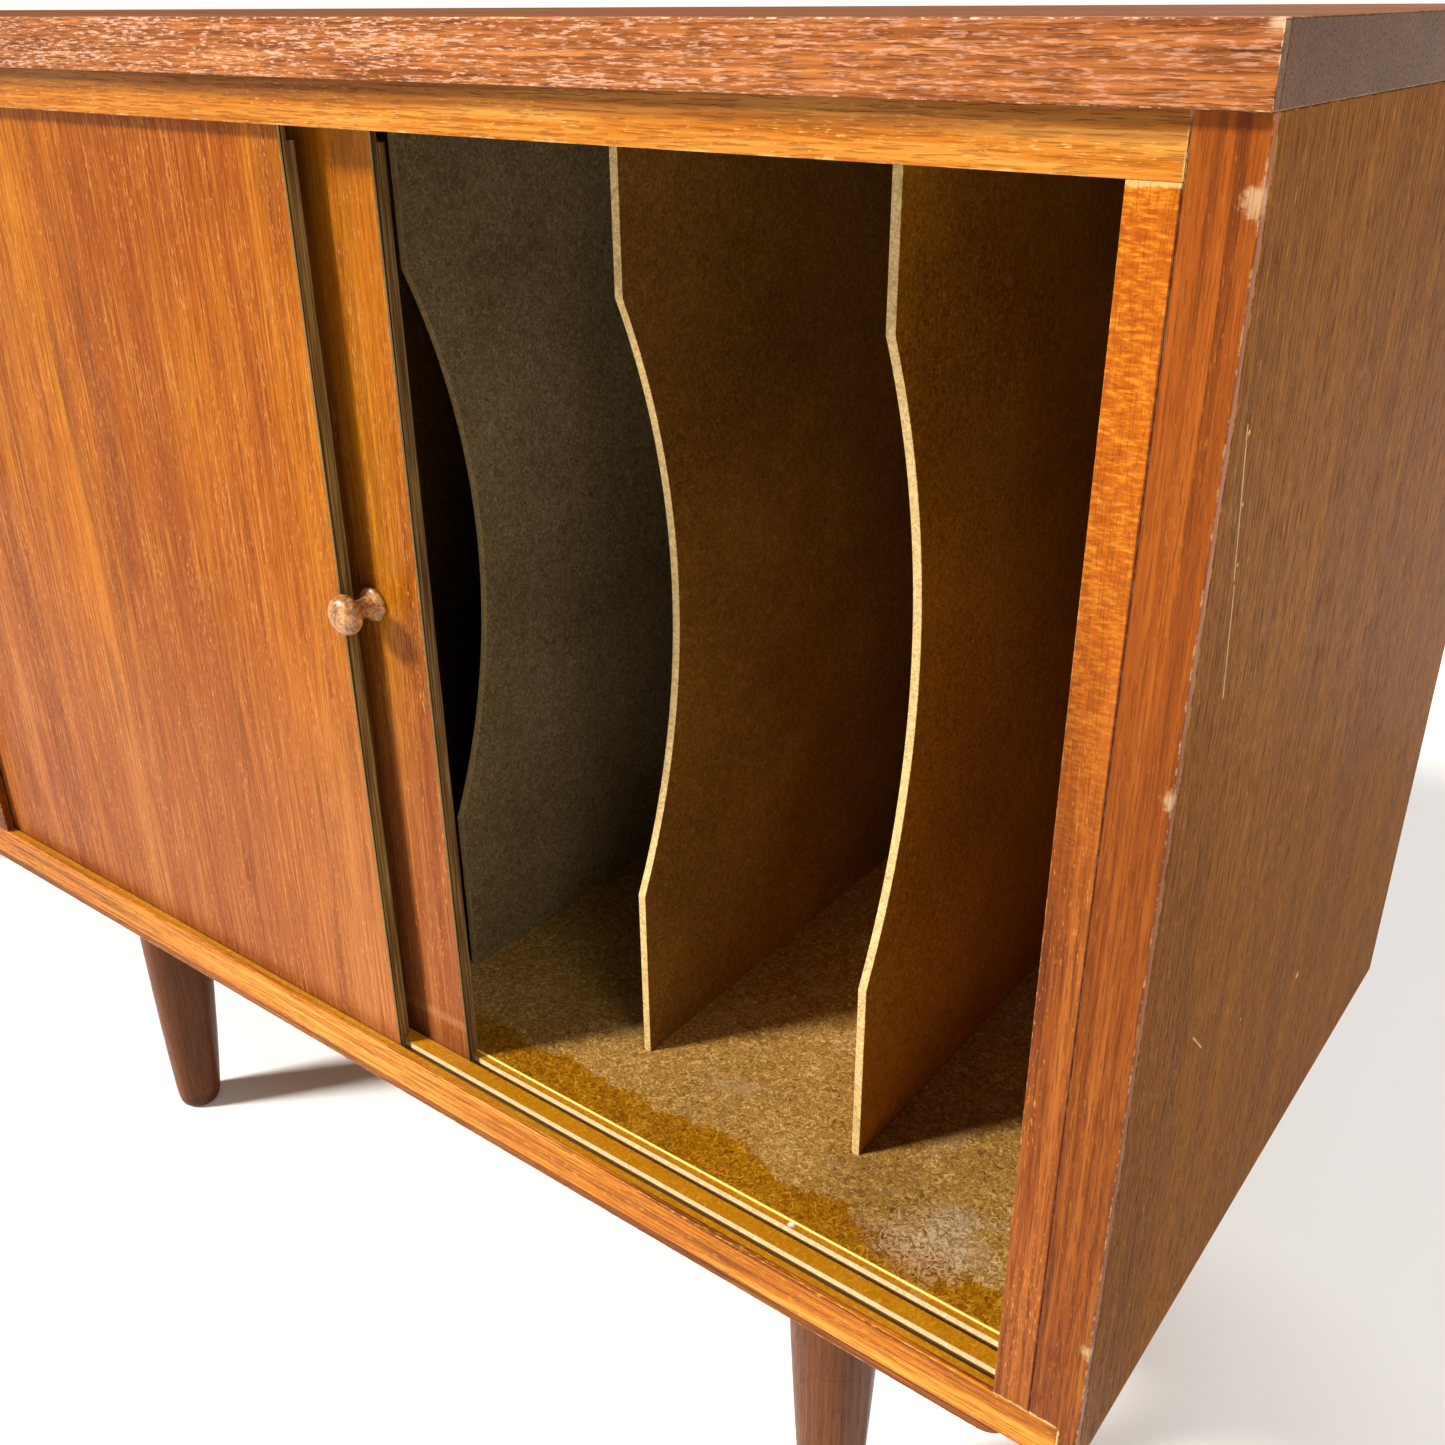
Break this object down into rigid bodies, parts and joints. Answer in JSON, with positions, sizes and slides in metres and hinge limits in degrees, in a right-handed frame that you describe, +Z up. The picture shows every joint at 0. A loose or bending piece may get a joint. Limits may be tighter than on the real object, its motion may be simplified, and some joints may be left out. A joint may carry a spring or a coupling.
{
  "type": "radio phonograph console",
  "caption": "Long teak radiogram on six turned legs: record bays behind sliding doors, loudspeaker front, and a radio and record player under a lift-up lid.",
  "frame": {"origin": "centre of the bounding box at floor level, under the legs", "axes": "+X to the right along the front, +Y from the front to the back, +Z up"},
  "size_m": [1.244, 0.4018, 0.645],
  "materials": {
    "teak_veneer": "oiled teak veneer, satin, long straight grain, worn edges",
    "teak_lipping": "solid teak edging, oiled, open pores",
    "teak_door": "book-matched teak veneer on thin plywood, satin lacquer",
    "turned_teak": "turned and stained hardwood, satin",
    "knob_wood": "small turned teak, worn pale",
    "hardboard": "smooth pressed fibreboard, flecked, unfinished",
    "chipboard": "amber lacquered chipboard",
    "grille_cloth": "woven loudspeaker cloth",
    "steel": "zinc plated sheet steel",
    "brass": "satin brass",
    "aluminium": "satin brushed aluminium",
    "enamel": "stoved cream enamel",
    "rubber": "ribbed turntable rubber",
    "black_plastic": "moulded black phenolic",
    "ivory_plastic": "moulded ivory plastic",
    "dial_glass": "clear dial glass",
    "cone_paper": "black paper cone and basket"
  },
  "bodies": {
    "console": {"top_board": "teak_veneer", "top_front_lipping": "teak_lipping", "inner_top": "chipboard", "top_rail": "teak_lipping", "bottom_board": "chipboard", "bottom_lipping": "teak_lipping", "right_side": "teak_veneer", "right_side_lipping": "teak_lipping", "left_side": "teak_veneer", "left_side_lipping": "teak_lipping", "right_jamb": "teak_lipping", "centre_stile": "teak_lipping", "centre_partition": "teak_veneer", "back_panel": "hardboard", "back_cover": "hardboard", "hinge_rail": "teak_veneer", "mains_inlet": "black_plastic", "divider_1": "hardboard", "divider_2": "hardboard", "divider_3": "hardboard", "divider_4": "hardboard", "leg_rail_front": "teak_veneer", "leg_rail_rear": "teak_veneer", "lid_hinge_case_leaf": "brass", "speaker_baffle": "chipboard", "grille_cloth": "grille_cloth", "grille_slats": "teak_lipping", "woofer": "cone_paper", "deck_board": "teak_veneer", "player_deck": "enamel", "player_motor": "steel", "tonearm_pillar": "enamel", "radio_panel": "aluminium", "dial_glass": "dial_glass", "tuner_chassis": "steel", "amplifier": "steel", "leg_front_right": "turned_teak", "leg_front_centre": "turned_teak", "leg_front_left": "turned_teak", "leg_rear_right": "turned_teak", "leg_rear_centre": "turned_teak", "leg_rear_left": "turned_teak"},
    "front_door": {"front_door": "teak_door", "front_door_knob": "knob_wood"},
    "rear_door": {"rear_door": "teak_door", "rear_door_knob": "knob_wood"},
    "lid": {"lid": "teak_veneer", "lid_hinge_lid_leaf": "brass"},
    "platter": {"platter": "aluminium", "platter_mat": "rubber"},
    "tonearm_gimbal": {"tonearm_gimbal": "aluminium"},
    "tonearm": {"tonearm": "ivory_plastic"},
    "speed_knob": {"speed_knob": "ivory_plastic"},
    "tuning_knob": {"tuning_knob": "ivory_plastic"},
    "dial_pointer": {"dial_pointer": "black_plastic"},
    "volume_knob": {"volume_knob": "ivory_plastic"},
    "tone_knob": {"tone_knob": "ivory_plastic"},
    "key_off": {"key_off": "ivory_plastic"},
    "key_phono": {"key_phono": "ivory_plastic"},
    "key_radio": {"key_radio": "ivory_plastic"}
  },
  "joints": [
    {"name": "front_door_slide", "type": "slide", "parent": "console", "child": "front_door", "axis": [1, 0, 0], "range_m": [-0.01, 0.001]},
    {"name": "rear_door_slide", "type": "slide", "parent": "console", "child": "rear_door", "axis": [1, 0, 0], "range_m": [0, 0.2915]},
    {"name": "lid_hinge", "type": "hinge", "parent": "console", "child": "lid", "pos_m": [-0.357, 0.1983, 0.62615], "axis": [-1, 0, 0], "range_deg": [0, 85]},
    {"name": "platter_spin", "type": "hinge", "parent": "console", "child": "platter", "pos_m": [-0.308, 0.0011, 0.54], "axis": [0, 0, -1], "continuous": true},
    {"name": "tonearm_swing", "type": "hinge", "parent": "console", "child": "tonearm_gimbal", "pos_m": [-0.147, 0.1051, 0.572], "axis": [0, 0, -1], "range_deg": [0, 41]},
    {"name": "tonearm_lift", "type": "hinge", "parent": "tonearm_gimbal", "child": "tonearm", "pos_m": [-0.147, 0.1051, 0.572], "axis": [-1, 0, 0], "range_deg": [0, 6]},
    {"name": "speed_knob_turn", "type": "hinge", "parent": "console", "child": "speed_knob", "pos_m": [-0.419, -0.1139, 0.536], "axis": [0, 0, 1], "range_deg": [-30, 60]},
    {"name": "tuning_knob_turn", "type": "hinge", "parent": "console", "child": "tuning_knob", "pos_m": [-0.492, -0.0999, 0.545], "axis": [0, 0, -1], "range_deg": [-28, 620]},
    {"name": "dial_pointer_slide", "type": "slide", "parent": "console", "child": "dial_pointer", "axis": [0, 1, 0], "range_m": [-0.01, 0.22]},
    {"name": "volume_knob_turn", "type": "hinge", "parent": "console", "child": "volume_knob", "pos_m": [-0.492, 0.1201, 0.545], "axis": [0, 0, -1], "range_deg": [0, 270]},
    {"name": "tone_knob_turn", "type": "hinge", "parent": "console", "child": "tone_knob", "pos_m": [-0.492, 0.0701, 0.545], "axis": [0, 0, -1], "range_deg": [-135, 135]},
    {"name": "key_off_press", "type": "slide", "parent": "console", "child": "key_off", "axis": [0, 0, -1], "range_m": [0, 0.004], "stiffness_N_per_m": 300, "springref_m": -0.002},
    {"name": "key_phono_press", "type": "slide", "parent": "console", "child": "key_phono", "axis": [0, 0, -1], "range_m": [0, 0.004], "stiffness_N_per_m": 300, "springref_m": -0.002},
    {"name": "key_radio_press", "type": "slide", "parent": "console", "child": "key_radio", "axis": [0, 0, -1], "range_m": [0, 0.004], "stiffness_N_per_m": 300, "springref_m": -0.002}
  ],
  "couplings": [
    {"joint": "dial_pointer_slide", "follows": "tuning_knob_turn", "m_per_rad": 0.02}
  ]
}
